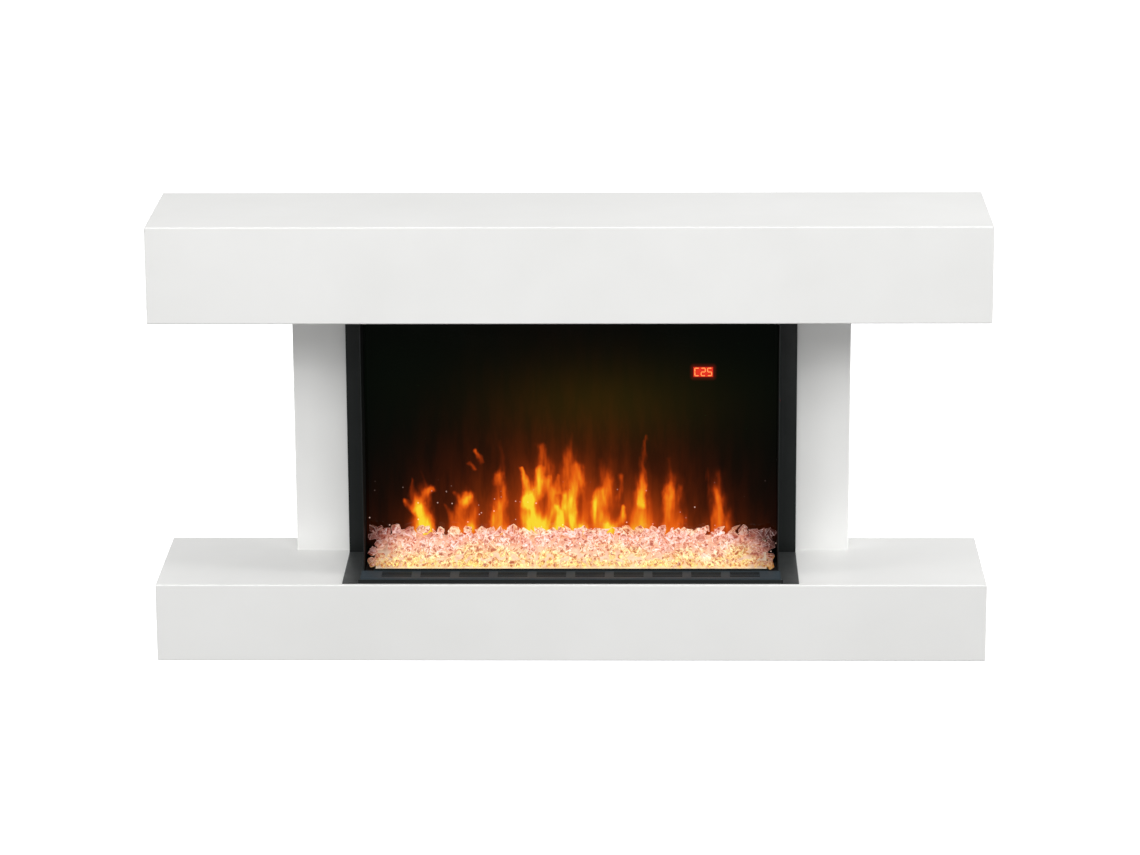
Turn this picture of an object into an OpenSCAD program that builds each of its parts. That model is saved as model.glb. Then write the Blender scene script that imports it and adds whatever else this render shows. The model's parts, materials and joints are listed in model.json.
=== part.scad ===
// Wall-hung electric fireplace suite: a white mantel box and hearth box on two
// hollow legs, round a black steel fire with a flame screen, a crystal fuel bed
// and a fan heater. Origin: centre of the footprint, underside of the hearth.
// +X to the right of a person facing it, +Y to the wall, +Z up.

/* [Suite] */
// Overall width of the mantel and of the hearth
suite_w = 990; // [960:5:1200]
// Depth from the wall to the front of the mantel and hearth
suite_d = 200; // [198:1:210]
// Height of the mantel box
mantel_h = 116; // [110:1:130]
// Height of the hearth box
hearth_h = 95; // [94:1:110]
// Clear height between the hearth and the mantel
gap_h = 319; // [315:1:340]
// Thickness of the painted boards
board_t = 15; // [14:0.5:16]
// Radius of the painted arrises
arris_r = 1.5; // [1:0.25:2.5]

/* [Legs] */
// Distance between the inner faces of the two legs
leg_gap = 504; // [503:1:520]
// Width of a leg
leg_w = 85; // [80:1:100]
// Depth of a leg, from the wall
leg_d = 54; // [50:1:60]

/* [Fire case] */
// Overall width of the steel case
case_w = 497.4; // [495:0.2:498]
// Distance from the wall to the front edge of the case sides
case_d = 161; // [158:1:162]
// Gap left between the case and the mantel
case_head_gap = 2; // [1.5:0.5:4]
// Thickness of the folded steel sheet
sheet_t = 1.2; // [1:0.1:1.4]
// Width of the black trim beside the fire
trim_w = 23; // [20:1:30]

/* [Flame effect] */
// Distance from the wall to the back of the flame screen
screen_back = 108.8; // [106:0.2:110]
// Thickness of the smoked flame screen
screen_t = 3; // [2:0.5:3]
// Height of the crystal heap's crest above the hearth
crystal_crest = 53; // [48:0.5:56]
// Radius swept by the reflector foils of the spindle
foil_r = 17; // [12:0.5:18]
// Number of foils along the spindle
foil_count = 13; // [6:1:14]

/* [Heater] */
// Radius of the cross-flow fan wheel
wheel_r = 19; // [16:0.5:19.5]
// Length of the cross-flow fan wheel
wheel_len = 166; // [150:1:168]
// Number of blades of the wheel
blade_count = 20; // [12:1:24]
// Number of slot groups in the air grille
slot_groups = 10; // [6:1:10]
// Number of slots in each group
slots_per_group = 4; // [2:1:4]

/* [Controls] */
// Travel of the push-buttons
button_travel = 1.5; // [1:0.1:1.6]
// Angle between the two positions of the power rocker
rocker_swing = 16; // [10:1:18]

/* [Hidden] */
$fn = 48;
eps = 0.1;
front_y = -suite_d / 2;
wall_y = suite_d / 2;
mantel_z = hearth_h + gap_h;
suite_h = mantel_z + mantel_h;

leg_in = leg_gap / 2;
leg_out = leg_in + leg_w;
leg_y = wall_y - leg_d;

// Screws that hold the legs, in the thickness of each leg's front board
leg_screw_x = [leg_in + leg_w / 4, leg_in + leg_w * 3 / 4];
leg_screw_y = leg_y + board_t / 2;
wood_screw_r = 2;
wood_screw_head_r = 4;
wood_screw_head_h = 3;
wood_screw_bite = 34;

// Glue blocks
block_leg = 22;
block_len = 60;
block_x = [-420, -300, 300, 420];

// Hanging rail, wall bracket and hooks
rail_y = wall_y - 8;
bracket_z = suite_h - 84;
bracket_t = 2;
bracket_len = 600;
bracket_low_z = bracket_z - 12;
ledge_z = bracket_z + 50;
lip_top_z = bracket_z + 62;
bracket_lip_y = rail_y + 2.5;
bracket_hole_x = 270;
bracket_hole_z = 15;
bracket_hole_r = 3;
hook_x = 200;
hook_w = 60;
hook_back_y = wall_y - 1;
hook_nose = 9;
hook_hole_x = 18;
hook_hole_r = 2.2;

// Steel case
case_x = case_w / 2;
case_in = case_x - sheet_t;
case_y = wall_y - case_d;
case_back_y = wall_y - 1;
case_top_z = mantel_z - case_head_gap;
floor_z = hearth_h + sheet_t;
vent_count = 9;
vent_pitch = 44;
vent_len = 28;
vent_w = 3;
vent_rows = [case_top_z - 34, case_top_z - 22];

// Cut-out in the hearth top and the tub that hangs in it
cut_x = 236;
cut_front_y = front_y + 16;
cut_back_y = cut_front_y + 148;
tub_x = cut_x - 2;
tub_front_y = cut_front_y + 2;
tub_back_y = cut_back_y - 2;
tub_z = board_t + 2;
grommet_x = 180;
grommet_z = 46;
grommet_r = 9;
grommet_bore_r = 4.5;

// Front edge of the fire: lip, grille and trim feet
lip_y = front_y + 4.2;
lip_x = leg_in + 1;
lip_h = 5.1;
grille_x = 250.5;
grille_y = front_y + 6.2;
grille_back_y = case_y - 0.2;
grille_z = hearth_h + 6;
slot_pitch_x = 46.2;
slot_len = 35.6;
slot_w = 3;
slot_pitch_y = 5.5;
slot_first_y = front_y + 16.5;
tab_x = case_x + 0.1;
trim_in = case_x + 0.3;
trim_out = trim_in + trim_w;
trim_y = leg_y - 13;
trim_top_z = mantel_z - 0.3;
trim_screw_r = 1.9;
trim_screw_head_r = 3.6;
trim_screw_y = leg_y - 1;
trim_screw_z = [hearth_h + 75, mantel_z - 45];

// Flame screen and fuel bed
screen_y = wall_y - screen_back;
screen_front_y = screen_y - screen_t;
bed_x = 246.5;
tray_x = 236;
tray_y = case_y;
tray_lip_z = hearth_h + 8.3;
bed_front_z = tray_lip_z + 2.6;
bed_crest_z = hearth_h + crystal_crest;
panel_t = 2.5;
panel_rise = 29;
panel_y = tray_y + sheet_t + 0.3;
panel_back_y = screen_front_y - 0.6;
panel_low_z = tray_lip_z - 3.4;
strip_w = 12;
strip_t = 1.6;
strip_len = 440;
led_pitch = 22;
led_r = 2.5;
ember_strip_y = tray_y + 21;
flame_strip_y = wall_y - 30;

// Stencil plate and its flame-shaped windows
stencil_y = screen_y + 23;
stencil_h = 190;
stencil_notch_x = case_in - 26;
stencil_notch_z = hearth_h + 100;
window_count = 10;
window_pitch = 42;
window_rise = 48;
tongue_steps = 10;

// Flame spindle
spindle_y = 44;
spindle_z = hearth_h + 27;
shaft_r = 3;
running_gap = 0.05;
spindle_motor_r = 24;
spindle_motor_t = 15;
spindle_ear = 28;
foil_len = 28;
foil_pitch = foil_len + 4;
foil_turn = 55;
foil_t = 0.6;

// Display, receiver and control board
display_x = 158.4;
display_z = 334;
display_w = 26;
display_h = 14;
display_t = 7;
pcb_t = 1.6;
board_back_y = case_back_y - sheet_t - 8;
board_x0 = 70;
board_x1 = 200;
board_z0 = 230;
board_z1 = 320;
board_hole = 5;

// Fan heater
fan_y = front_y + 46;
fan_z = 46;
scroll_r = 25;
duct_x = 88;
duct_back_y = front_y + 35.6;
duct_front_y = fan_y - scroll_r;
tongue_z = 68;
wheel_disc_t = 1.5;
fan_hub_r = 9;
fan_port_r = 6;
stack_x = 104;
stack_len = 22;
stack_end_x = stack_x + stack_len;
stack_half = 25;
stack_reach = 48;
stack_window = [22, 38];
coil_t = 7;
rotor_r = 11.5;
bridge_t = 2;
bridge_post_y = 18;
heater_z = 76;
heater_h = 15;
heater_rail_t = 2;
fin_count = 32;
fin_pitch = 5.2;
cutout_x = 40;
cutout_z = heater_z + heater_h / 2;
cutout_r = 7.5;

// Control panel on the right cheek of the case
panel_y0 = -9;
panel_y1 = 31;
panel_z0 = 192;
panel_z1 = 310;
panel_mid_y = (panel_y0 + panel_y1) / 2;
panel_out = case_x + 1.5;
rocker_z = 287;
rocker_w = 11;
rocker_h = 17;
rocker_gap = 0.3;
rocker_half_w = rocker_w / 2 + rocker_gap;
rocker_half_h = rocker_h / 2 + 1;
rocker_body = 16;
rocker_pocket = 9;
bezel_out = panel_out + 0.6;
pivot_x = panel_out - 3.5;
pin_r = 1;
button_r = 4.5;
button_stem_r = 1.8;
button_back_x = case_x - 3.2;
heat_button_z = 250;
flame_button_z = 222;
button_board_x = case_x - 10.7;
button_board_half = 15;

// ---------- shared shapes ----------

// Box between two corners
module slab(low, high) {
    translate(low) cube(high - low);
}

// Profile drawn in Y and Z, extruded along X about x = 0
module along_x(length) {
    rotate([90, 0, 90]) linear_extrude(height = length, center = true) children();
}

// Profile drawn in X and Z, extruded along Y about y = 0
module along_y(length) {
    rotate([90, 0, 0]) linear_extrude(height = length, center = true) children();
}

// Cylinder along X, from x0 to x1
module rod_x(x0, x1, y, z, r) {
    translate([x0, y, z]) rotate([0, 90, 0]) cylinder(h = x1 - x0, r = r);
}

// Cylinder along Y, from y0 to y1
module rod_y(y0, y1, x, z, r) {
    translate([x, y0, z]) rotate([-90, 0, 0]) cylinder(h = y1 - y0, r = r);
}

// Rectangle with round corners
module rounded_rect(a, b, r) {
    square([a - 2 * r, b], center = true);
    square([a, b - 2 * r], center = true);
    for (sx = [-1, 1], sy = [-1, 1])
        translate([sx * (a / 2 - r), sy * (b / 2 - r)]) circle(r = r);
}

module both_sides() {
    children();
    mirror([1, 0, 0]) children();
}

// ---------- mantel and hearth boxes ----------

// Closed box shape with soft arrises, centred
module softened_box(h) {
    intersection() {
        along_x(suite_w) rounded_rect(suite_d, h, arris_r);
        along_y(suite_d) rounded_rect(suite_w, h, arris_r);
        linear_extrude(height = h, center = true) rounded_rect(suite_w, suite_d, arris_r);
    }
}

// Horizontal board, mitred on the front and both ends; up = 1 at the top, -1 at the bottom
module level_board(h, up) {
    w = suite_w / 2;
    d = suite_d / 2;
    t = board_t;
    intersection() {
        softened_box(h);
        scale([1, 1, up]) along_y(suite_d)
            polygon([[-w, h / 2], [w, h / 2], [w - t, h / 2 - t], [t - w, h / 2 - t]]);
        scale([1, 1, up]) along_x(suite_w)
            polygon([[-d, h / 2], [d, h / 2], [d, h / 2 - t], [t - d, h / 2 - t]]);
    }
}

module upright_front_board(h) {
    w = suite_w / 2;
    d = suite_d / 2;
    t = board_t;
    intersection() {
        softened_box(h);
        linear_extrude(height = h, center = true)
            polygon([[-w, -d], [w, -d], [w - t, t - d], [t - w, t - d]]);
        along_x(suite_w)
            polygon([[-d, -h / 2], [-d, h / 2], [t - d, h / 2 - t], [t - d, t - h / 2]]);
    }
}

// End board; side = 1 on the right, -1 on the left
module end_board(h, side) {
    w = suite_w / 2;
    d = suite_d / 2;
    t = board_t;
    intersection() {
        softened_box(h);
        scale([side, 1, 1]) linear_extrude(height = h, center = true)
            polygon([[w, -d], [w, d], [w - t, d], [w - t, t - d]]);
        scale([side, 1, 1]) along_y(suite_d)
            polygon([[w, -h / 2], [w, h / 2], [w - t, h / 2 - t], [w - t, t - h / 2]]);
    }
}

module in_mantel() {
    translate([0, 0, mantel_z + mantel_h / 2]) children();
}

module in_hearth() {
    translate([0, 0, hearth_h / 2]) children();
}

module leg_screw_holes() {
    for (side = [-1, 1], x = leg_screw_x)
        translate([side * x, leg_screw_y, 0])
            cylinder(h = suite_h, r = wood_screw_r + eps);
}

module mantel_top_board() {
    color("white") in_mantel() level_board(mantel_h, 1);
}

module mantel_front_board() {
    color("white") in_mantel() upright_front_board(mantel_h);
}

module mantel_left_end_board() {
    color("white") in_mantel() end_board(mantel_h, -1);
}

module mantel_right_end_board() {
    color("white") in_mantel() end_board(mantel_h, 1);
}

module mantel_bottom_board() {
    color("white") difference() {
        in_mantel() level_board(mantel_h, -1);
        leg_screw_holes();
    }
}

module mantel_back_rail() {
    color("tan") slab(
        [board_t - suite_w / 2, rail_y - board_t, mantel_z + board_t],
        [suite_w / 2 - board_t, rail_y, suite_h - board_t]);
}

module hearth_top_board() {
    color("white") difference() {
        in_hearth() level_board(hearth_h, 1);
        slab([-cut_x, cut_front_y, 0], [cut_x, cut_back_y, hearth_h + 1]);
        leg_screw_holes();
    }
}

module hearth_front_board() {
    color("white") in_hearth() upright_front_board(hearth_h);
}

module hearth_left_end_board() {
    color("white") in_hearth() end_board(hearth_h, -1);
}

module hearth_right_end_board() {
    color("white") in_hearth() end_board(hearth_h, 1);
}

module hearth_bottom_board() {
    color("white") in_hearth() level_board(hearth_h, -1);
}

module hearth_back_rail() {
    color("tan") difference() {
        slab([board_t - suite_w / 2, wall_y - board_t, board_t],
            [suite_w / 2 - board_t, wall_y, hearth_h - board_t]);
        rod_y(wall_y - board_t - 1, wall_y + 1, grommet_x, grommet_z, grommet_r);
    }
}

// ---------- legs ----------

// Front board of the right leg, with its two front arrises softened
module leg_front() {
    difference() {
        translate([leg_in + leg_w / 2, leg_y + board_t / 2, hearth_h])
            linear_extrude(height = gap_h) union() {
                rounded_rect(leg_w, board_t, arris_r);
                translate([-leg_w / 2, 0]) square([leg_w, board_t / 2]);
            }
        leg_screw_holes();
    }
}

// Side board of the right leg, with its inner face at x
module leg_side(x) {
    slab([x, leg_y + board_t, hearth_h], [x + board_t, wall_y, mantel_z]);
}

module right_leg_front_board() {
    color("white") leg_front();
}

module right_leg_outer_board() {
    color("white") leg_side(leg_out - board_t);
}

module right_leg_inner_board() {
    color("white") leg_side(leg_in);
}

module left_leg_front_board() {
    color("white") mirror([1, 0, 0]) leg_front();
}

module left_leg_outer_board() {
    color("white") mirror([1, 0, 0]) leg_side(leg_out - board_t);
}

module left_leg_inner_board() {
    color("white") mirror([1, 0, 0]) leg_side(leg_in);
}

// ---------- joinery and hanging ----------

// Triangular block in the corner of a front board, pointing down from z when up = -1
module glue_block(x, z, up) {
    translate([x, 0, z]) along_x(block_len) polygon([
        [front_y + board_t, 0],
        [front_y + board_t + block_leg, 0],
        [front_y + board_t, up * block_leg]]);
}

module glue_blocks() {
    color("burlywood") for (x = block_x) {
        glue_block(x, suite_h - board_t, -1);
        glue_block(x, mantel_z + board_t, 1);
        glue_block(x, board_t, 1);
    }
}

// Wood screw with its head at the origin and its shank pointing down
module wood_screw(length) {
    cylinder(h = wood_screw_head_h, r = wood_screw_head_r);
    translate([0, 0, -length]) cylinder(h = length, r = wood_screw_r);
}

module leg_fixing_screws() {
    color("silver") for (side = [-1, 1], x = leg_screw_x) {
        translate([side * x, leg_screw_y, mantel_z + board_t]) wood_screw(board_t + wood_screw_bite);
        translate([side * x, leg_screw_y, hearth_h - board_t])
            mirror([0, 0, 1]) wood_screw(board_t + wood_screw_bite);
    }
}

// Z-shaped steel rail screwed to the wall: flange, ledge and upturned lip
module wall_bracket() {
    half = bracket_len / 2;
    ledge_low_z = ledge_z - bracket_t;
    hole_mid_z = (bracket_low_z + ledge_z) / 2;
    color("silver") difference() {
        union() {
            slab([-half, wall_y - bracket_t, bracket_low_z], [half, wall_y, ledge_z]);
            slab([-half, bracket_lip_y, ledge_low_z], [half, wall_y, ledge_z]);
            slab([-half, bracket_lip_y, ledge_low_z], [half, bracket_lip_y + bracket_t, lip_top_z]);
        }
        for (sx = [-1, 1], sz = [-1, 1])
            rod_y(wall_y - bracket_t - 1, wall_y + 1, sx * bracket_hole_x,
                hole_mid_z + sz * bracket_hole_z, bracket_hole_r);
    }
}

// Hook plates on the back of the mantel rail, which drop over the bracket's lip
module hanging_hooks() {
    half = hook_w / 2;
    top_z = lip_top_z + bracket_t;
    color("silver") for (x = [-hook_x, 0, hook_x]) difference() {
        union() {
            slab([x - half, rail_y, bracket_z + 4], [x + half, rail_y + bracket_t, top_z]);
            slab([x - half, rail_y, lip_top_z], [x + half, hook_back_y, top_z]);
            slab([x - half, hook_back_y - bracket_t, lip_top_z - hook_nose], [x + half, hook_back_y, top_z]);
        }
        for (sx = [-1, 1])
            rod_y(rail_y - 1, rail_y + bracket_t + 1, x + sx * hook_hole_x, bracket_z + 20, hook_hole_r);
    }
}

// ---------- steel case ----------

// Case floor that lies on the hearth, with the tub that hangs through its cut-out
module case_floor_tub() {
    color("dimgray") difference() {
        union() {
            slab([-case_x, lip_y + sheet_t, hearth_h], [case_x, case_back_y, floor_z]);
            slab([-tub_x, tub_front_y, tub_z], [tub_x, tub_back_y, hearth_h + sheet_t / 2]);
        }
        slab([sheet_t - tub_x, tub_front_y + sheet_t, tub_z + sheet_t],
            [tub_x - sheet_t, tub_back_y - sheet_t, floor_z + 1]);
        rod_y(tub_back_y - sheet_t - 1, tub_back_y + 1, grommet_x, grommet_z, grommet_r);
    }
}

module trim_screw_holes() {
    for (z = trim_screw_z) rod_x(case_in - 1, case_x + 3, trim_screw_y, z, trim_screw_r + eps);
}

module case_side() {
    difference() {
        slab([case_in, case_y, floor_z], [case_x, case_back_y, case_top_z]);
        trim_screw_holes();
    }
}

module case_left_side() {
    color("black") mirror([1, 0, 0]) case_side();
}

module case_right_side() {
    color("black") difference() {
        case_side();
        slab([case_in - 1, panel_y0 + 3, panel_z0 + 4], [case_x + 1, panel_y1 - 3, panel_z1 - 4]);
    }
}

module case_back_panel() {
    color("dimgray") difference() {
        slab([-case_in, case_back_y - sheet_t, floor_z], [case_in, case_back_y, case_top_z]);
        for (i = [0 : vent_count - 1], z = vent_rows)
            translate([(i - (vent_count - 1) / 2) * vent_pitch, case_back_y, z + vent_w / 2])
                cube([vent_len, 4 * sheet_t, vent_w], center = true);
    }
}

module case_top_panel() {
    color("black") slab([-case_in, case_y, case_top_z - sheet_t],
        [case_in, case_back_y - sheet_t, case_top_z]);
}

// Right-hand trim: upright flange on the leg, its return, the tab on the case and the foot
module side_trim() {
    difference() {
        union() {
            slab([tab_x, trim_y, floor_z], [trim_out, trim_y + sheet_t, trim_top_z]);
            slab([trim_out - sheet_t, trim_y, floor_z], [trim_out, leg_y, trim_top_z]);
            slab([tab_x, trim_y, floor_z], [tab_x + sheet_t, leg_y + 10, trim_top_z]);
            slab([trim_in, lip_y, hearth_h], [trim_out, trim_y + sheet_t, floor_z]);
        }
        trim_screw_holes();
    }
}

module right_side_trim() {
    color("black") difference() {
        side_trim();
        lip_clearance();
    }
}

module left_side_trim() {
    color("black") mirror([1, 0, 0]) difference() {
        side_trim();
        lip_clearance();
    }
}

// Notch in the front of each foot where the end of the lip sits
module lip_clearance() {
    slab([0, lip_y - 1, hearth_h - 1], [lip_x + 0.2, lip_y + sheet_t + 0.2, floor_z + 1]);
}

module front_lip() {
    color("dimgray") slab([-lip_x, lip_y, hearth_h], [lip_x, lip_y + sheet_t, hearth_h + lip_h]);
}

// Inverted channel with groups of slots
module air_grille() {
    color("dimgray") difference() {
        union() {
            slab([-grille_x, grille_y, grille_z - sheet_t], [grille_x, grille_back_y, grille_z]);
            slab([-case_x, grille_y, floor_z], [case_x, grille_y + sheet_t, grille_z]);
            slab([-case_x, grille_back_y - sheet_t, floor_z + 0.6], [case_x, grille_back_y, grille_z]);
        }
        for (g = [0 : slot_groups - 1], s = [0 : slots_per_group - 1])
            translate([(g - (slot_groups - 1) / 2) * slot_pitch_x, slot_first_y + s * slot_pitch_y, grille_z])
                cube([slot_len, slot_w, 4 * sheet_t], center = true);
    }
}

module trim_screws() {
    head_x = tab_x + sheet_t;
    color("black") both_sides() for (z = trim_screw_z) {
        rod_x(case_x - 4, head_x, trim_screw_y, z, trim_screw_r);
        rod_x(head_x, leg_in - 0.4, trim_screw_y, z, trim_screw_head_r);
    }
}

// ---------- fuel bed ----------

module fuel_bed_tray() {
    color("black") difference() {
        slab([-tray_x, tray_y, floor_z], [tray_x, screen_front_y - 0.4, tray_lip_z]);
        slab([sheet_t - tray_x, tray_y + sheet_t, floor_z + sheet_t],
            [tray_x - sheet_t, screen_front_y, tray_lip_z + 1]);
    }
}

// Sloping translucent panel that carries the crystals
module ember_panel() {
    color("ivory") along_x(2 * (tray_x - sheet_t - 0.5)) polygon([
        [panel_y, panel_low_z],
        [panel_back_y, panel_low_z + panel_rise],
        [panel_back_y, panel_low_z + panel_rise + panel_t],
        [panel_y, panel_low_z + panel_t]]);
}

// Outer shape of the heap of glass crystals
module crystal_bed() {
    color("mistyrose") along_x(2 * bed_x) polygon([
        [tray_y, tray_lip_z + 0.1],
        [tray_y + 2, tray_lip_z + 0.1],
        [panel_back_y, panel_low_z + panel_rise + panel_t + 1.4],
        [panel_back_y, bed_crest_z],
        [panel_back_y - 4, bed_crest_z],
        [tray_y + 5, tray_lip_z + 9],
        [tray_y, bed_front_z]]);
}

// Circuit strip with a row of light-emitting diodes, centred on x = 0
module led_strip(y, z) {
    slab([-strip_len / 2, y, z], [strip_len / 2, y + strip_w, z + strip_t]);
    for (x = [(led_pitch - strip_len) / 2 : led_pitch : strip_len / 2])
        translate([x, y + strip_w / 2, z + strip_t]) cylinder(h = strip_t, r = led_r);
}

module ember_led_strip() {
    color("honeydew") led_strip(ember_strip_y, floor_z + sheet_t);
}

module flame_led_strip() {
    color("honeydew") led_strip(flame_strip_y, floor_z);
}

// ---------- flame effect ----------

module flame_screen() {
    half = case_in - 0.3;
    color("black") slab([-half, screen_front_y, floor_z], [half, screen_y, case_top_z - sheet_t - 0.3]);
}

// Half width of a flame-shaped window at a fraction t of its height
function tongue(t, w) = w * pow(1 - t, 0.8) * (0.7 + 0.3 * cos(300 * t));

module flame_window(w, h) {
    steps = [for (i = [0 : tongue_steps]) i / tongue_steps];
    polygon(concat(
        [for (t = steps) [tongue(t, w) + 4 * sin(260 * t), h * t]],
        [for (i = [tongue_steps - 1 : -1 : 0]) [-tongue(i / tongue_steps, w) + 4 * sin(260 * i / tongue_steps),
            h * i / tongue_steps]]));
}

// Steel plate with flame-shaped windows, which shapes the light thrown on the screen,
// cut away on the right behind the controls
module flame_stencil_plate() {
    middle = (window_count - 1) / 2;
    color("gray") translate([0, stencil_y, 0]) difference() {
        translate([0, 0, floor_z + stencil_h / 2]) cube([2 * case_in, sheet_t, stencil_h], center = true);
        for (i = [0 : window_count - 1])
            translate([(i - middle) * window_pitch, 0, floor_z + window_rise]) along_y(4 * sheet_t)
                flame_window(11 + 3 * (i % 3), 90 + 14 * ((i * 2) % 4));
        slab([stencil_notch_x, -sheet_t, stencil_notch_z], [case_x, sheet_t, floor_z + stencil_h + 1]);
    }
}

// Steel shaft of the flame spindle, from the bush on the left wall to the motor
module spindle_shaft() {
    color("silver") rod_x(-case_in + 2, case_in - spindle_motor_t - 1, spindle_y, spindle_z, shaft_r);
}

module spindle_foils() {
    middle = (foil_count - 1) / 2;
    color("gainsboro") difference() {
        for (i = [0 : foil_count - 1])
            translate([(i - middle) * foil_pitch, spindle_y, spindle_z])
                rotate([i * foil_turn, 0, 0]) cube([foil_len, 2 * foil_r, foil_t], center = true);
        rod_x(-case_in, case_in, spindle_y, spindle_z, shaft_r);
    }
}

// Synchronous motor on the right wall of the case, with a collar that takes the shaft's end
module spindle_motor() {
    x = case_in - spindle_motor_t;
    collar = 8;
    color("silver") difference() {
        union() {
            rod_x(x, case_in, spindle_y, spindle_z, spindle_motor_r);
            rod_x(x - collar, x, spindle_y, spindle_z, shaft_r + 4);
            slab([case_in - 2, spindle_y - spindle_ear, spindle_z - 5],
                [case_in, spindle_y + spindle_ear, spindle_z + 5]);
        }
        rod_x(x - collar - 1, x, spindle_y, spindle_z, shaft_r + running_gap);
    }
}

module spindle_bush() {
    flange_x = -case_in + 2;
    color("white") difference() {
        union() {
            rod_x(-case_in, flange_x, spindle_y, spindle_z, shaft_r + 9);
            rod_x(flange_x, flange_x + 8, spindle_y, spindle_z, shaft_r + 3.5);
        }
        rod_x(flange_x - 0.5, flange_x + 9, spindle_y, spindle_z, shaft_r + running_gap);
    }
}

// Three-digit display, with its face on the back of the smoked screen
module temperature_display() {
    back_y = screen_y + display_t;
    color("black") slab([display_x - display_w / 2, screen_y, display_z - display_h / 2],
        [display_x + display_w / 2, back_y, display_z + display_h / 2]);
    color("darkgreen") slab([display_x - 34, back_y, display_z - 12],
        [display_x + 20, back_y + pcb_t, display_z + 12]);
}

module remote_receiver() {
    x = display_x - 25;
    color("black") {
        slab([x - 3, screen_y + 2, display_z - 3.5], [x + 3, screen_y + display_t, display_z + 3.5]);
        rod_y(screen_y + 0.4, screen_y + 2, x, display_z, 2.4);
    }
}

module control_board() {
    front = board_back_y - pcb_t;
    color("darkgreen") slab([board_x0, front, board_z0], [board_x1, board_back_y, board_z1]);
    color("dodgerblue") for (rise = [12, 32]) board_box(10, rise, [19, 15.4, 15]);
    color("khaki") board_box(45, 10, [36, 22.4, 30]);
    color("black") board_box(60, 56, [20, 1.8, 10]);
    color("green") board_box(96, 8, [10, 12.4, 60]);
    color("slategray") for (x = [board_x0 + 16, board_x0 + 34]) rod_y(front - 16.4, front, x, board_z0 + 66, 6);
    color("silver") for (x = [board_x0 + board_hole, board_x1 - board_hole],
        z = [board_z0 + board_hole, board_z1 - board_hole])
        rod_y(board_back_y, case_back_y - sheet_t, x, z, 3);
}

// Box-shaped component on the front of the control board, from its lower left corner
module board_box(across, rise, size) {
    translate([board_x0 + across, board_back_y - pcb_t - size[1], board_z0 + rise]) cube(size);
}

// ---------- fan heater ----------

// Side outline of the fan duct: scroll round the wheel and straight duct up to the grille
module duct_outline() {
    outer_y = duct_front_y - sheet_t;
    translate([fan_y, fan_z]) circle(r = scroll_r + sheet_t);
    translate([outer_y, fan_z])
        square([duct_back_y + sheet_t - outer_y, grille_z - sheet_t - 0.4 - fan_z]);
}

// Air space inside the duct: round the wheel, up to the grille and over the tongue at the back
module duct_bore() {
    translate([fan_y, fan_z]) circle(r = scroll_r);
    translate([duct_front_y, fan_z]) square([duct_back_y - duct_front_y, grille_z]);
    translate([duct_front_y, fan_z]) square([2 * scroll_r, tongue_z - fan_z]);
}

module blower_housing() {
    foot_x = duct_x - 18;
    color("silver") {
        difference() {
            along_x(2 * duct_x) duct_outline();
            along_x(2 * (duct_x - sheet_t)) duct_bore();
            rod_x(-duct_x - 1, duct_x + 1, fan_y, fan_z, fan_port_r);
        }
        for (x = [-foot_x, foot_x])
            slab([x - 6, fan_y - 10, tub_z + sheet_t], [x + 6, fan_y + 10, fan_z - scroll_r - 0.4]);
    }
}

module blower_wheel() {
    color("gainsboro") difference() {
        union() {
            for (x = [-wheel_len / 2, -wheel_disc_t / 2, wheel_len / 2 - wheel_disc_t])
                rod_x(x, x + wheel_disc_t, fan_y, fan_z, wheel_r);
            for (i = [0 : blade_count - 1])
                translate([0, fan_y, fan_z]) rotate([i * 360 / blade_count, 0, 0])
                    translate([0, wheel_r - 4, 0]) rotate([35, 0, 0])
                        cube([wheel_len - 0.5, 6, 0.8], center = true);
        }
        rod_x(-wheel_len, wheel_len, fan_y, fan_z, shaft_r);
    }
}

module blower_shaft() {
    color("silver") {
        rod_x(-duct_x - 6, stack_end_x + 8, fan_y, fan_z, shaft_r);
        rod_x(stack_x, stack_end_x, fan_y, fan_z, rotor_r);
    }
}

// Shaded-pole motor: laminated stack, coil and two bearing bridges
module blower_motor() {
    color("slategray") motor_stack();
    color("chocolate") motor_coil();
    color("silver") for (x = [stack_x - 5, stack_end_x + 3]) motor_bridge(x);
}

module motor_stack() {
    difference() {
        slab([stack_x, fan_y - stack_half, tub_z + sheet_t],
            [stack_end_x, fan_y + stack_reach, fan_z + stack_half]);
        rod_x(stack_x - 1, stack_end_x + 1, fan_y, fan_z, rotor_r + 0.5);
        slab([stack_x - 1, fan_y + stack_window[0], fan_z - 15],
            [stack_end_x + 1, fan_y + stack_window[1], fan_z + 15]);
    }
}

// Coil wound round the limb behind the stack's window
module motor_coil() {
    difference() {
        slab([stack_x - coil_t, fan_y + stack_window[0] + 1, fan_z - 14.5],
            [stack_end_x + coil_t, fan_y + stack_reach + 6, fan_z + 14.5]);
        slab([stack_x, fan_y + stack_window[1], fan_z - 15], [stack_end_x, fan_y + stack_reach, fan_z + 15]);
    }
}

// Bearing bridge at x, on two posts from the stack
module motor_bridge(x) {
    near = x < stack_x ? x : stack_end_x;
    far = x < stack_x ? stack_x : x + bridge_t;
    difference() {
        union() {
            slab([x, fan_y - 20, fan_z - 6], [x + bridge_t, fan_y + 20, fan_z + 6]);
            for (sy = [-1, 1])
                slab([near, fan_y + sy * bridge_post_y - 2, fan_z - 6],
                    [far, fan_y + sy * bridge_post_y + 2, fan_z + 6]);
        }
        rod_x(x - 1, x + bridge_t + 1, fan_y, fan_z, shaft_r + running_gap);
    }
}

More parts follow.
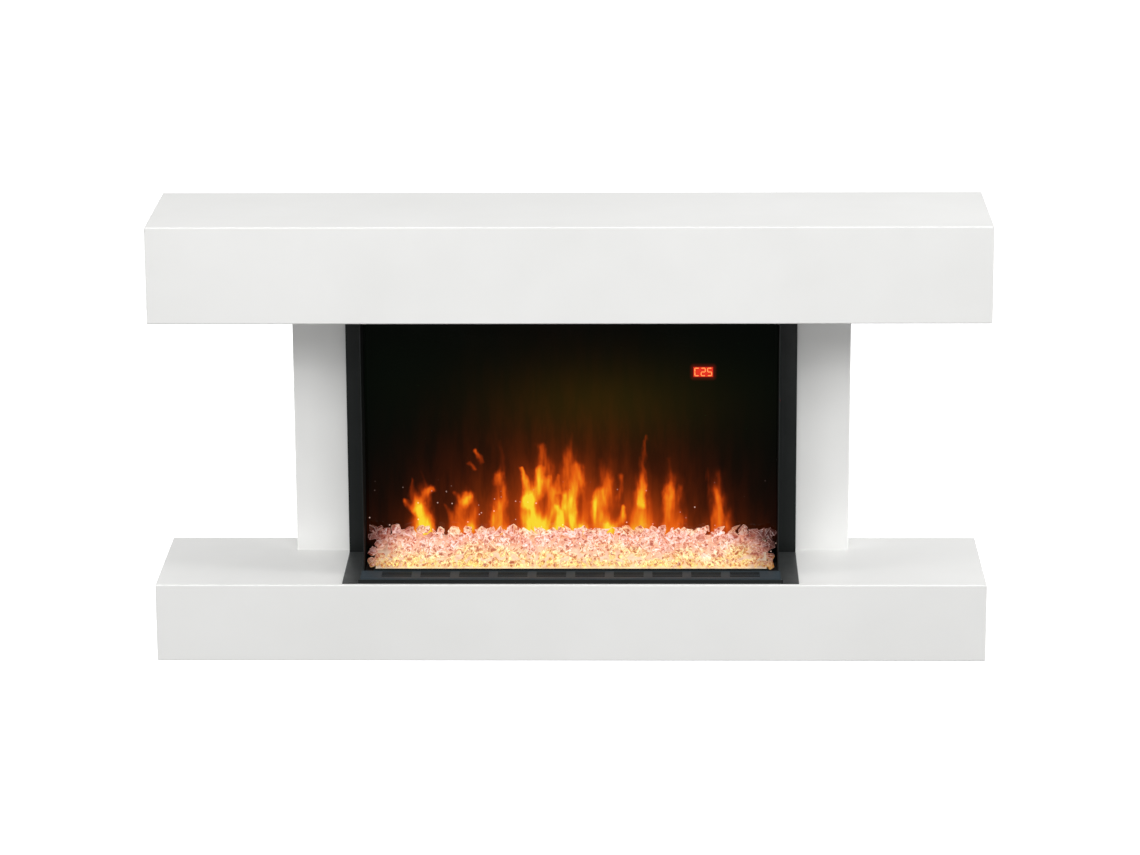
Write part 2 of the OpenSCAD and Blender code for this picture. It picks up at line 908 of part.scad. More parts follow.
module blower_bush() {
    color("black") difference() {
        union() {
            rod_x(-duct_x - 5, -duct_x, fan_y, fan_z, fan_hub_r);
            rod_x(-duct_x, -duct_x + sheet_t, fan_y, fan_z, fan_port_r - 0.1);
        }
        rod_x(-duct_x - 6, -duct_x + sheet_t + 1, fan_y, fan_z, shaft_r + running_gap);
    }
}

// Finned ceramic heater across the duct
module heating_element() {
    y0 = duct_front_y + 0.4;
    y1 = duct_back_y - 0.4;
    half = duct_x - 3;
    color("orange") for (z = [heater_z, heater_z + heater_h - heater_rail_t])
        slab([-half, y0, z], [half, y1, z + heater_rail_t]);
    color("silver") for (i = [0 : fin_count - 1])
        translate([(i - (fin_count - 1) / 2) * fin_pitch, (y0 + y1) / 2, heater_z + heater_h / 2])
            cube([1, y1 - y0 - 2, heater_h - 2 * heater_rail_t], center = true);
}

module thermal_cutout() {
    face_y = duct_back_y + sheet_t;
    can_y = face_y + 8;
    color("ivory") rod_y(face_y, can_y, cutout_x, cutout_z, cutout_r);
    color("silver") for (x = [cutout_x - 4, cutout_x + 4])
        slab([x - 2, can_y, cutout_z - 0.4], [x + 2, can_y + 7, cutout_z + 0.4]);
}

// ---------- controls on the right cheek ----------

module control_panel() {
    color("black") difference() {
        slab([case_x, panel_y0, panel_z0], [panel_out, panel_y1, panel_z1]);
        translate([case_x, panel_mid_y, rocker_z])
            cube([8, rocker_w + 2.2, rocker_h + 2.2], center = true);
        for (z = [heat_button_z, flame_button_z])
            rod_x(case_x - 1, panel_out + 1, panel_mid_y, z, button_r + 0.3);
    }
}

module rocker_housing() {
    color("dimgray") difference() {
        union() {
            slab([pivot_x - rocker_body, panel_mid_y - rocker_half_w - 0.7, rocker_z - rocker_half_h],
                [panel_out, panel_mid_y + rocker_half_w + 0.7, rocker_z + rocker_half_h]);
            slab([panel_out, panel_mid_y - rocker_half_w - 2, rocker_z - rocker_half_h - 1.5],
                [bezel_out, panel_mid_y + rocker_half_w + 2, rocker_z + rocker_half_h + 1.5]);
        }
        slab([pivot_x - rocker_pocket, panel_mid_y - rocker_half_w, rocker_z - rocker_half_h + 0.5],
            [panel_out + 3, panel_mid_y + rocker_half_w, rocker_z + rocker_half_h - 0.5]);
    }
    color("silver") rod_y(panel_mid_y - rocker_half_w, panel_mid_y + rocker_half_w, pivot_x, rocker_z, pin_r);
    color("silver") for (z = [-5, 0, 5]) switch_terminal(rocker_z + z);
}

module switch_terminal(z) {
    x = pivot_x - rocker_body;
    slab([x - 7, panel_mid_y - 2.4, z - 0.4], [x, panel_mid_y + 2.4, z + 0.4]);
}

// Paddle of the power rocker, stored in its off position
module rocker_paddle() {
    h = rocker_h / 2 - 0.8;
    color("crimson") translate([pivot_x, panel_mid_y, rocker_z]) rotate([0, rocker_swing / 2, 0])
        difference() {
            along_y(rocker_w) polygon([
                [-3.4, -3], [-1.6, -h], [3.6, -h], [2.4, 0], [3.6, h], [-1.6, h], [-3.4, 3]]);
            rod_y(-rocker_w, rocker_w, 0, 0, pin_r + running_gap);
        }
}

module push_button(z) {
    tip = bezel_out;
    flange_x = case_x - 1.4;
    rod_x(case_x - 0.7, tip - 0.6, panel_mid_y, z, button_r);
    rod_x(tip - 0.6, tip, panel_mid_y, z, button_r - 0.5);
    rod_x(flange_x, flange_x + 1, panel_mid_y, z, button_r + 1.4);
    rod_x(button_back_x, flange_x, panel_mid_y, z, button_stem_r);
}

module heat_button() {
    color("lightgray") push_button(heat_button_z);
}

module flame_button() {
    color("lightgray") push_button(flame_button_z);
}

// Small board behind the buttons, with a tactile switch for each
module button_board() {
    x = button_board_x;
    low_z = flame_button_z - 20;
    high_z = heat_button_z + 18;
    color("darkgreen") slab([x - pcb_t, panel_mid_y - button_board_half, low_z],
        [x, panel_mid_y + button_board_half, high_z]);
    color("black") for (z = [heat_button_z, flame_button_z])
        slab([x, panel_mid_y - 3.5, z - 3.5],
            [button_back_x - button_travel - 0.6, panel_mid_y + 3.5, z + 3.5]);
    color("ivory") for (sy = [-1, 1], z = [low_z + 4, high_z - 5])
        rod_x(x, case_x, panel_mid_y + sy * 12, z, 2);
}

// Grommets where the mains lead passes out of the tub and through the hearth rail
module cable_grommets() {
    color("black") {
        grommet(tub_back_y - sheet_t, tub_back_y);
        grommet(wall_y - board_t, wall_y - 2.5);
    }
}

module grommet(y0, y1) {
    difference() {
        union() {
            rod_y(y0, y1, grommet_x, grommet_z, grommet_r);
            rod_y(y0 - 2, y0, grommet_x, grommet_z, grommet_r + 2.5);
            rod_y(y1, y1 + 2, grommet_x, grommet_z, grommet_r - eps);
        }
        rod_y(y0 - 3, y1 + 3, grommet_x, grommet_z, grommet_bore_r);
    }
}

mantel_top_board();
mantel_front_board();
mantel_left_end_board();
mantel_right_end_board();
mantel_bottom_board();
mantel_back_rail();
hearth_top_board();
hearth_front_board();
hearth_left_end_board();
hearth_right_end_board();
hearth_bottom_board();
hearth_back_rail();
left_leg_front_board();
left_leg_outer_board();
left_leg_inner_board();
right_leg_front_board();
right_leg_outer_board();
right_leg_inner_board();
glue_blocks();
leg_fixing_screws();
wall_bracket();
hanging_hooks();
case_floor_tub();
case_left_side();
case_right_side();
case_back_panel();
case_top_panel();
left_side_trim();
right_side_trim();
front_lip();
air_grille();
trim_screws();
flame_screen();
flame_stencil_plate();
crystal_bed();
fuel_bed_tray();
ember_panel();
ember_led_strip();
spindle_shaft();
spindle_foils();
spindle_motor();
spindle_bush();
flame_led_strip();
temperature_display();
remote_receiver();
control_board();
blower_housing();
blower_wheel();
blower_shaft();
blower_motor();
blower_bush();
heating_element();
thermal_cutout();
control_panel();
rocker_housing();
rocker_paddle();
heat_button();
flame_button();
button_board();
cable_grommets();
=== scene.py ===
"""Looks of the wall-hung electric fireplace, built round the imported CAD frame. Lengths are in metres."""

import json
import math
import random

import bmesh
import bpy
from mathutils import Matrix, Quaternion, Vector


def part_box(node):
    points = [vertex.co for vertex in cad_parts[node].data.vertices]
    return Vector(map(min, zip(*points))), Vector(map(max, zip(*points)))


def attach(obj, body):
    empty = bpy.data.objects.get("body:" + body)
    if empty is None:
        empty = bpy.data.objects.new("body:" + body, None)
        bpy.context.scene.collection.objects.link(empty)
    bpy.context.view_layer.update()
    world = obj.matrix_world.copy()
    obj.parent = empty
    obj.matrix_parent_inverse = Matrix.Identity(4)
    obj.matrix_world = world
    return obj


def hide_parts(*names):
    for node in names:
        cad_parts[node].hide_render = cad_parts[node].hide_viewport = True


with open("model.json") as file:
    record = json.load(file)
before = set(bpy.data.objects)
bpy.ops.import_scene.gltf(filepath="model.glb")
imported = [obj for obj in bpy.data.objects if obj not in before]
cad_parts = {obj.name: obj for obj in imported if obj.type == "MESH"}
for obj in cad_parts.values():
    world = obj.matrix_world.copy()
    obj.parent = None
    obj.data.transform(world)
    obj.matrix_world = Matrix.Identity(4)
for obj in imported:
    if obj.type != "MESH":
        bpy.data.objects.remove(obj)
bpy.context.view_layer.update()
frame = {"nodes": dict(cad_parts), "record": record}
NODES = frame["nodes"]
RECORD = frame["record"]
MM = 0.001
rng = random.Random(41)

# Shared places: the lit window of the temperature display, in the plane of the screen
DISPLAY_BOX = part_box("temperature_display")
WINDOW = Vector((DISPLAY_BOX[1].x - 20 * MM, 0, (DISPLAY_BOX[0].z + DISPLAY_BOX[1].z) / 2))
WINDOW_HALF_WIDTH = 11.2 * MM
WINDOW_HALF_HEIGHT = 5.6 * MM
BLACK = (0.0, 0.0, 0.0)


# ---------- node helpers ----------

class Shader:
    """A material with one Principled shader, and short calls for the nodes that feed it."""

    def __init__(self, name):
        self.mat = bpy.data.materials.new(name)
        self.mat.use_nodes = True
        self.tree = self.mat.node_tree
        self.tree.nodes.clear()
        out = self.tree.nodes.new("ShaderNodeOutputMaterial")
        self.bsdf = self.tree.nodes.new("ShaderNodeBsdfPrincipled")
        self.tree.links.new(self.bsdf.outputs["BSDF"], out.inputs["Surface"])
        self.position = self.tree.nodes.new("ShaderNodeTexCoord").outputs["Object"]

    def set(self, **values):
        """Sets shader sockets, with _ for each space of a socket's name."""
        for name, value in values.items():
            self.bsdf.inputs[name.replace("_", " ")].default_value = value

    def link(self, source, socket):
        self.tree.links.new(source, self.bsdf.inputs[socket])

    def put(self, socket, value):
        """Links an output to a socket, or sets the socket to a plain value."""
        if hasattr(value, "is_output"):
            self.tree.links.new(value, socket)
        elif value is not None:
            socket.default_value = value

    def math(self, operation, a, b=None, c=None, clamp=False):
        n = self.tree.nodes.new("ShaderNodeMath")
        n.operation = operation
        n.use_clamp = clamp
        for socket, value in zip(n.inputs, (a, b, c)):
            self.put(socket, value)
        return n.outputs[0]

    def vector(self, operation, a, b=None, output="Vector"):
        n = self.tree.nodes.new("ShaderNodeVectorMath")
        n.operation = operation
        self.put(n.inputs[0], a)
        if b is not None:
            self.put(n.inputs[1], b)
        return n.outputs[output]

    def stretched(self, scale, source=None):
        return self.vector("MULTIPLY", source or self.position, scale)

    def scaled(self, source, factor):
        return self.vector("MULTIPLY", source, (factor, factor, factor))

    def split(self, source=None):
        n = self.tree.nodes.new("ShaderNodeSeparateXYZ")
        self.put(n.inputs[0], source or self.position)
        return n.outputs

    def join(self, x, y, z=0.0):
        n = self.tree.nodes.new("ShaderNodeCombineXYZ")
        for socket, value in zip(n.inputs, (x, y, z)):
            self.put(socket, value)
        return n.outputs[0]

    def noise(self, scale, detail=3.0, rough=0.5, where=None, colour=False, distortion=0.0):
        n = self.tree.nodes.new("ShaderNodeTexNoise")
        self.put(n.inputs["Vector"], where or self.position)
        n.inputs["Scale"].default_value = scale
        n.inputs["Detail"].default_value = detail
        n.inputs["Roughness"].default_value = rough
        n.inputs["Distortion"].default_value = distortion
        return n.outputs["Color" if colour else "Fac"]

    def cells(self, scale, where=None, feature="F1", output="Distance"):
        n = self.tree.nodes.new("ShaderNodeTexVoronoi")
        n.feature = feature
        self.put(n.inputs["Vector"], where or self.position)
        n.inputs["Scale"].default_value = scale
        return n.outputs[output]

    def span(self, value, low, high, to_low=0.0, to_high=1.0, smooth=True):
        n = self.tree.nodes.new("ShaderNodeMapRange")
        n.interpolation_type = "SMOOTHSTEP" if smooth else "LINEAR"
        for socket, v in zip(n.inputs[:5], (value, low, high, to_low, to_high)):
            self.put(socket, v)
        return n.outputs["Result"]

    def ramp(self, value, *stops):
        n = self.tree.nodes.new("ShaderNodeValToRGB")
        self.put(n.inputs["Fac"], value)
        points = n.color_ramp.elements
        while len(points) < len(stops):
            points.new(0.5)
        for point, (at, colour) in zip(points, stops):
            point.position = at
            point.color = (*colour, 1.0)
        return n.outputs["Color"]

    def mix(self, factor, a, b, blend="MIX"):
        n = self.tree.nodes.new("ShaderNodeMix")
        n.data_type = "RGBA"
        n.blend_type = blend
        self.put(n.inputs[0], factor)
        self.put(n.inputs[6], (*a, 1.0) if isinstance(a, tuple) else a)
        self.put(n.inputs[7], (*b, 1.0) if isinstance(b, tuple) else b)
        return n.outputs[2]

    def bump(self, height, distance, strength=1.0, under=None):
        n = self.tree.nodes.new("ShaderNodeBump")
        n.inputs["Strength"].default_value = strength
        n.inputs["Distance"].default_value = distance
        self.put(n.inputs["Height"], height)
        if under is not None:
            self.put(n.inputs["Normal"], under)
        return n.outputs["Normal"]

    def geometry(self, output):
        return self.tree.nodes.new("ShaderNodeNewGeometry").outputs[output]

    def edge_wear_and_glint(self, radius):
        """About 1 on a convex edge and 0 on flats."""
        bevel = self.tree.nodes.new("ShaderNodeBevel")
        bevel.samples = 4
        bevel.inputs["Radius"].default_value = radius
        same = self.vector("DOT_PRODUCT", bevel.outputs["Normal"], self.geometry("Normal"), "Value")
        return self.span(same, 0.995, 0.93)

    def offset(self, value, amount):
        """Turns a 0 to 1 value into a shift of up to half the amount each way."""
        return self.math("MULTIPLY", self.math("SUBTRACT", value, 0.5), amount)

    def tint(self, colour, factor):
        """Scales a colour by another colour."""
        return self.mix(1.0, colour, factor, "MULTIPLY")


def colour_noise(s, low, high, scale, detail=4.0, rough=0.55, where=None):
    return s.ramp(s.noise(scale, detail, rough, where), (0.3, low), (0.7, high))


# ---------- materials, one function per slot of the record ----------

def satin_white():
    """Sprayed satin paint on MDF: near-flat, with faint orange peel and soft patches."""
    s = Shader("satin_white_paint")
    patches = s.noise(5.0, 3.0, 0.6)
    s.link(s.ramp(patches, (0.3, (0.795, 0.795, 0.78)), (0.7, (0.835, 0.835, 0.822))), "Base Color")
    s.link(s.span(s.noise(22.0, 4.0, 0.6), 0.3, 0.7, 0.36, 0.46), "Roughness")
    peel = s.bump(s.noise(900.0, 2.0, 0.5), 0.00004, 0.35)
    s.link(s.bump(s.noise(60.0, 2.0, 0.5), 0.0002, 0.12, under=peel), "Normal")
    return s.mat


def bare_board():
    s = Shader("bare_mdf")
    fibres = s.noise(900.0, 5.0, 0.7, s.stretched((0.12, 1.0, 1.0)))
    s.link(s.ramp(fibres, (0.25, (0.30, 0.19, 0.10)), (0.75, (0.52, 0.37, 0.22))), "Base Color")
    s.link(s.span(fibres, 0.2, 0.8, 0.75, 0.95), "Roughness")
    s.link(s.bump(fibres, 0.0003, 0.5), "Normal")
    return s.mat


def metal(name, low, high, rough_low, rough_high, brushed=(0.03, 1.0, 1.0), grain=1400.0):
    s = Shader(name)
    lines = s.noise(grain, 4.0, 0.65, s.stretched(brushed))
    s.link(s.ramp(lines, (0.3, low), (0.7, high)), "Base Color")
    s.set(Metallic=1.0)
    s.link(s.span(lines, 0.25, 0.75, rough_low, rough_high), "Roughness")
    s.link(s.bump(lines, 0.00005, 0.4), "Normal")
    return s.mat


def screw_steel():
    return metal("zinc_screws", (0.42, 0.42, 0.38), (0.62, 0.61, 0.56), 0.3, 0.5, (1.0, 1.0, 0.2), 700.0)


def bracket_steel():
    return metal("zinc_bracket", (0.45, 0.47, 0.48), (0.62, 0.64, 0.65), 0.28, 0.45)


def shaft_steel():
    return metal("ground_steel", (0.42, 0.42, 0.42), (0.62, 0.62, 0.61), 0.18, 0.3, (0.02, 1.0, 1.0), 2400.0)


def galvanised():
    """Zinc spangle: flat crystal patches with faint streaks."""
    s = Shader("galvanised_sheet")
    spangle = s.cells(160.0, output="Color")
    shade = s.ramp(spangle, (0.1, (0.36, 0.38, 0.40)), (0.9, (0.60, 0.62, 0.64)))
    s.link(shade, "Base Color")
    s.set(Metallic=1.0)
    s.link(s.span(s.noise(500.0, 4.0, 0.6), 0.25, 0.75, 0.3, 0.5), "Roughness")
    s.link(s.bump(s.cells(160.0), 0.00008, 0.3), "Normal")
    return s.mat


def powder_coat(name, low, high, rough_low, rough_high, wear, shine=0.5, top_sheen=0.0):
    """Fine-textured powder coat, a little polished along the folds, with a painted sheen on faces that look
    up, lighter for the light they catch.
    """
    s = Shader(name)
    flecks = s.noise(1800.0, 2.0, 0.6)
    body = s.ramp(flecks, (0.3, low), (0.75, high))
    # Painted sheen: faces that look up are mixed towards a lighter grey, standing for the light they catch.
    if top_sheen:
        upward_sheen = s.span(s.split(s.geometry("Normal"))["Z"], 0.5, 0.9, 0.0, top_sheen)
        body = s.mix(upward_sheen, body, (0.12, 0.125, 0.125))
    s.link(s.mix(s.edge_wear_and_glint(0.0006), body, wear), "Base Color")
    cloud = s.noise(18.0, 4.0, 0.6)
    s.link(s.span(cloud, 0.3, 0.7, rough_low, rough_high), "Roughness")
    s.link(s.bump(flecks, 0.00006, 0.5), "Normal")
    s.set(Specular_IOR_Level=shine)
    return s.mat


def black_case():
    return powder_coat("black_powder_coat", (0.0030, 0.0046, 0.0040), (0.0062, 0.0084, 0.0076), 0.42, 0.55,
                       (0.012, 0.015, 0.0145), shine=0.22)


def trim_black():
    return powder_coat("trim_powder_coat", (0.0048, 0.0066, 0.0062), (0.0085, 0.0108, 0.0104), 0.34, 0.46,
                       (0.022, 0.026, 0.026), shine=0.2, top_sheen=0.36)


def grille_coat():
    """Matt blue-grey coat, with painted shade on the walls of the slots."""
    s = Shader("grille_powder_coat")
    flecks = s.noise(1800.0, 2.0, 0.6)
    plate = s.ramp(flecks, (0.3, (0.030, 0.044, 0.054)), (0.75, (0.046, 0.062, 0.074)))
    # Painted shade: standing faces behind the front lip, the walls of the slots, are coloured near black.
    upright_shade = s.span(s.math("ABSOLUTE", s.split(s.geometry("Normal"))["Z"]), 0.4, 0.7, 1.0, 0.0)
    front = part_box("air_grille")[0].y
    inside = s.span(s.split()["Y"], front + 3 * MM, front + 4 * MM)
    s.link(s.mix(s.math("MULTIPLY", upright_shade, inside), plate, (0.0015, 0.002, 0.0022)), "Base Color")
    s.link(s.span(s.noise(18.0, 4.0, 0.6), 0.3, 0.7, 0.5, 0.62), "Roughness")
    s.link(s.bump(flecks, 0.00006, 0.5), "Normal")
    s.set(Specular_IOR_Level=0.1)
    return s.mat


def grey_case():
    return powder_coat("grey_powder_coat", (0.028, 0.030, 0.032), (0.045, 0.048, 0.05), 0.45, 0.6,
                       (0.08, 0.085, 0.09))


def stencil_steel():
    s = Shader("plain_coated_sheet")
    s.link(colour_noise(s, (0.14, 0.14, 0.135), (0.22, 0.22, 0.21), 60.0), "Base Color")
    s.link(s.span(s.noise(300.0), 0.3, 0.7, 0.45, 0.6), "Roughness")
    s.set(Metallic=0.6)
    return s.mat


def motor_steel():
    """Stacked laminations, varnished."""
    s = Shader("varnished_laminations")
    x = s.split()["X"]
    layers = s.math("FRACT", s.math("MULTIPLY", x, 1.0 / (0.7 * MM)))
    groove = s.span(layers, 0.0, 0.25)
    s.link(s.mix(groove, (0.02, 0.018, 0.016), (0.16, 0.15, 0.14)), "Base Color")
    s.set(Metallic=0.7)
    s.link(s.span(s.noise(200.0), 0.3, 0.7, 0.35, 0.55), "Roughness")
    s.link(s.bump(groove, 0.0001, 0.6), "Normal")
    return s.mat


def moulded(name, low, high, rough_low, rough_high, grain=2600.0, depth=0.00004):
    s = Shader(name)
    texture = s.noise(grain, 2.0, 0.55)
    s.link(s.ramp(s.noise(40.0, 4.0, 0.6), (0.3, low), (0.7, high)), "Base Color")
    s.link(s.span(texture, 0.3, 0.7, rough_low, rough_high), "Roughness")
    s.link(s.bump(texture, depth, 0.5), "Normal")
    return s.mat


def nylon():
    return moulded("natural_nylon", (0.62, 0.60, 0.54), (0.72, 0.70, 0.65), 0.4, 0.55)


def black_plastic():
    return moulded("black_moulding", (0.010, 0.011, 0.011), (0.018, 0.019, 0.019), 0.42, 0.6)


def button_grey():
    return moulded("grey_button", (0.30, 0.31, 0.31), (0.36, 0.37, 0.37), 0.35, 0.5)


def rocker_red():
    return moulded("red_rocker", (0.30, 0.008, 0.008), (0.38, 0.012, 0.011), 0.14, 0.24, 900.0, 0.00002)


def rubber():
    return moulded("black_rubber", (0.008, 0.008, 0.008), (0.014, 0.014, 0.014), 0.7, 0.85, 1500.0, 0.00006)


def heater():
    """Glazed ceramic with heat staining."""
    s = Shader("heater_ceramic")
    s.link(colour_noise(s, (0.36, 0.30, 0.22), (0.58, 0.54, 0.46), 45.0), "Base Color")
    s.link(s.span(s.noise(260.0), 0.3, 0.7, 0.45, 0.7), "Roughness")
    s.link(s.bump(s.noise(700.0), 0.00008, 0.4), "Normal")
    return s.mat


def foil():
    s = Shader("reflector_foil")
    creases = s.cells(70.0, output="Color")
    s.link(s.ramp(creases, (0.1, (0.62, 0.62, 0.60)), (0.9, (0.85, 0.85, 0.82))), "Base Color")
    s.set(Metallic=1.0)
    s.link(s.span(s.noise(90.0), 0.3, 0.7, 0.08, 0.2), "Roughness")
    s.link(s.bump(s.cells(70.0), 0.0004, 0.5), "Normal")
    return s.mat


def led_board():
    """White solder mask with a warm dot at each diode."""
    s = Shader("led_strip_board")
    x = s.split()["X"]
    pitch = 22.0 * MM
    along = s.math("SUBTRACT", s.math("FRACT", s.math("DIVIDE", x, pitch)), 0.5)
    dot = s.span(s.math("ABSOLUTE", along), 0.10, 0.13, 1.0, 0.0)
    mask = s.mix(s.noise(300.0), (0.62, 0.64, 0.62), (0.74, 0.75, 0.73))
    s.link(s.mix(dot, mask, (0.85, 0.55, 0.10)), "Base Color")
    s.link(s.span(s.noise(500.0), 0.3, 0.7, 0.3, 0.45), "Roughness")
    return s.mat


def circuit_board():
    """Green solder mask with copper tracks under it."""
    s = Shader("circuit_board")
    grid = s.cells(260.0, feature="DISTANCE_TO_EDGE")
    track = s.span(grid, 0.03, 0.06, 1.0, 0.0)
    s.link(s.mix(track, (0.006, 0.060, 0.022), (0.03, 0.16, 0.06)), "Base Color")
    s.link(s.span(s.noise(600.0), 0.3, 0.7, 0.22, 0.38), "Roughness")
    s.link(s.bump(track, 0.00005, 0.4), "Normal")
    return s.mat


def display_module():
    s = Shader("display_moulding")
    s.link(colour_noise(s, (0.05, 0.012, 0.010), (0.09, 0.02, 0.016), 120.0), "Base Color")
    s.link(s.span(s.noise(500.0), 0.3, 0.7, 0.2, 0.35), "Roughness")
    return s.mat


def ember_acrylic():
    """Frosted panel lit from below: yellow at the low front edge, pinker higher up, unlit at the ends."""
    low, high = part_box("ember_panel")
    s = Shader("ember_panel_acrylic")
    at = s.split()
    rise = s.span(at["Z"], low.z, high.z - 12 * MM, smooth=False)
    glow = s.ramp(rise, (0.0, (1.0, 0.80, 0.20)), (0.30, (1.0, 0.66, 0.30)), (0.65, (1.0, 0.52, 0.34)),
                  (1.0, (1.0, 0.42, 0.28)))
    patches = s.ramp(s.noise(190.0, 3.0, 0.6), (0.36, (0.45, 0.18, 0.10)), (0.5, (1.0, 0.8, 0.7)),
                     (0.6, (1.0, 1.0, 1.0)))
    ends = s.span(s.math("ABSOLUTE", at["X"]), 196 * MM, 232 * MM, 1.0, 0.02)
    s.link(s.tint(s.tint(glow, patches), s.join(ends, ends, ends)), "Emission Color")
    s.link(colour_noise(s, (0.55, 0.45, 0.34), (0.66, 0.56, 0.44), 50.0), "Base Color")
    s.link(s.span(s.noise(400.0), 0.3, 0.7, 0.5, 0.65), "Roughness")
    s.set(Emission_Strength=0.45)
    return s.mat


def crystal_glass():
    """Broken glass lit from below, its glow painted into the emission colour: pink and cream, each face of a
    piece shaded on its own, yellower at the low front, with painted highlights and reddish flecks of painted
    shade and dark reflection.
    The glow dies away towards the ends of the heap, where dark glass gets painted pale highlights on its
    edges."""
    low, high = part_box("crystal_bed")
    s = Shader("crystal_glass")
    at = s.split()
    # Painted light: each face of each piece gets its own brightness from its normal, from dark reddish to
    # pale.
    lump = s.math("MULTIPLY", s.geometry("Random Per Island"), 40.0)
    facing = s.vector("ADD", s.scaled(s.geometry("Normal"), 1.6), s.join(lump, lump, 0.0))
    facet = s.noise(1.0, 1.0, 0.5, facing)
    rise = s.span(at["Z"], low.z, high.z, smooth=False)
    zone = s.math("ADD", rise, s.offset(s.noise(30.0, 3.0, 0.6), 1.1))
    body = s.ramp(zone, (0.05, (1.0, 0.78, 0.20)), (0.30, (1.0, 0.80, 0.36)), (0.50, (1.0, 0.68, 0.50)),
                  (0.72, (0.98, 0.58, 0.47)), (0.90, (1.0, 0.70, 0.42)), (1.0, (0.95, 0.52, 0.24)))
    facet_light = s.ramp(facet, (0.33, (0.72, 0.40, 0.32)), (0.42, (0.90, 0.74, 0.68)), (0.50, (1.0, 0.95, 0.94)),
                    (0.60, (1.05, 1.05, 1.05)), (0.68, (1.12, 1.2, 1.25)))
    body = s.tint(body, facet_light)
    # Painted highlights and darker patches mottle the glow.
    mottle_at = s.vector("ADD", s.position, s.join(s.math("MULTIPLY", lump, 0.1), 0.0, 0.0))
    mottle = s.noise(210.0, 3.0, 0.6, mottle_at, distortion=0.9)
    mottled_light = s.ramp(mottle, (0.34, (0.40, 0.07, 0.03)), (0.41, (0.74, 0.32, 0.24)),
                      (0.47, (0.95, 0.80, 0.74)), (0.53, (1.02, 1.08, 1.08)), (0.60, (1.15, 1.45, 1.8)))
    body = s.tint(body, mottled_light)
    # Painted shade: reddish-brown flecks for the shaded gaps between pieces and their dark reflections.
    fleck_at = s.vector("ADD", s.position, s.scaled(s.noise(160.0, 2.0, 0.5, colour=True), 6 * MM))
    fleck = s.span(s.cells(150.0, fleck_at), 0.22, 0.40, 1.0, 0.0)
    chosen = s.span(s.split(s.cells(150.0, fleck_at, output="Color"))["X"], 0.60, 0.66)
    body = s.mix(s.math("MULTIPLY", s.math("MULTIPLY", fleck, chosen), 0.9), body, (0.42, 0.060, 0.022))

    # Where the heap is lit: less at the ends, and least high up there
    sideways = s.math("ABSOLUTE", s.math("ADD", at["X"], 5 * MM))
    reach = s.math("ADD", sideways, s.math("MULTIPLY", rise, 36 * MM))
    reach = s.math("ADD", reach, s.offset(s.noise(34.0, 2.0, 0.5), 60 * MM))
    lit = s.span(reach, 200 * MM, 272 * MM, 1.0, 0.05)
    warm = s.ramp(lit, (0.1, (0.95, 0.50, 0.46)), (0.6, (1.05, 0.80, 0.76)), (0.95, (1.0, 1.0, 1.0)))
    body = s.tint(s.tint(body, s.join(lit, lit, lit)), warm)
    # Painted highlight: pale rims along the edges of every piece, brighter where the heap is lit.
    pale = s.mix(lit, (0.70, 0.44, 0.42), (1.2, 0.92, 0.72))
    s.link(s.mix(s.math("MULTIPLY", s.edge_wear_and_glint(0.7 * MM), 0.5), body, pale), "Emission Color")
    s.link(s.mix(lit, (0.05, 0.030, 0.030), (0.10, 0.055, 0.045)), "Base Color")
    s.link(s.span(s.noise(240.0, 3.0, 0.6), 0.35, 0.75, 0.04, 0.16), "Roughness")
    s.link(s.bump(s.noise(330.0, 3.0, 0.6), 0.0006, 0.3), "Normal")
    s.set(Emission_Strength=0.84, Transmission_Weight=0.3, IOR=1.5)
    return s.mat


# ---------- flames on the screen ----------

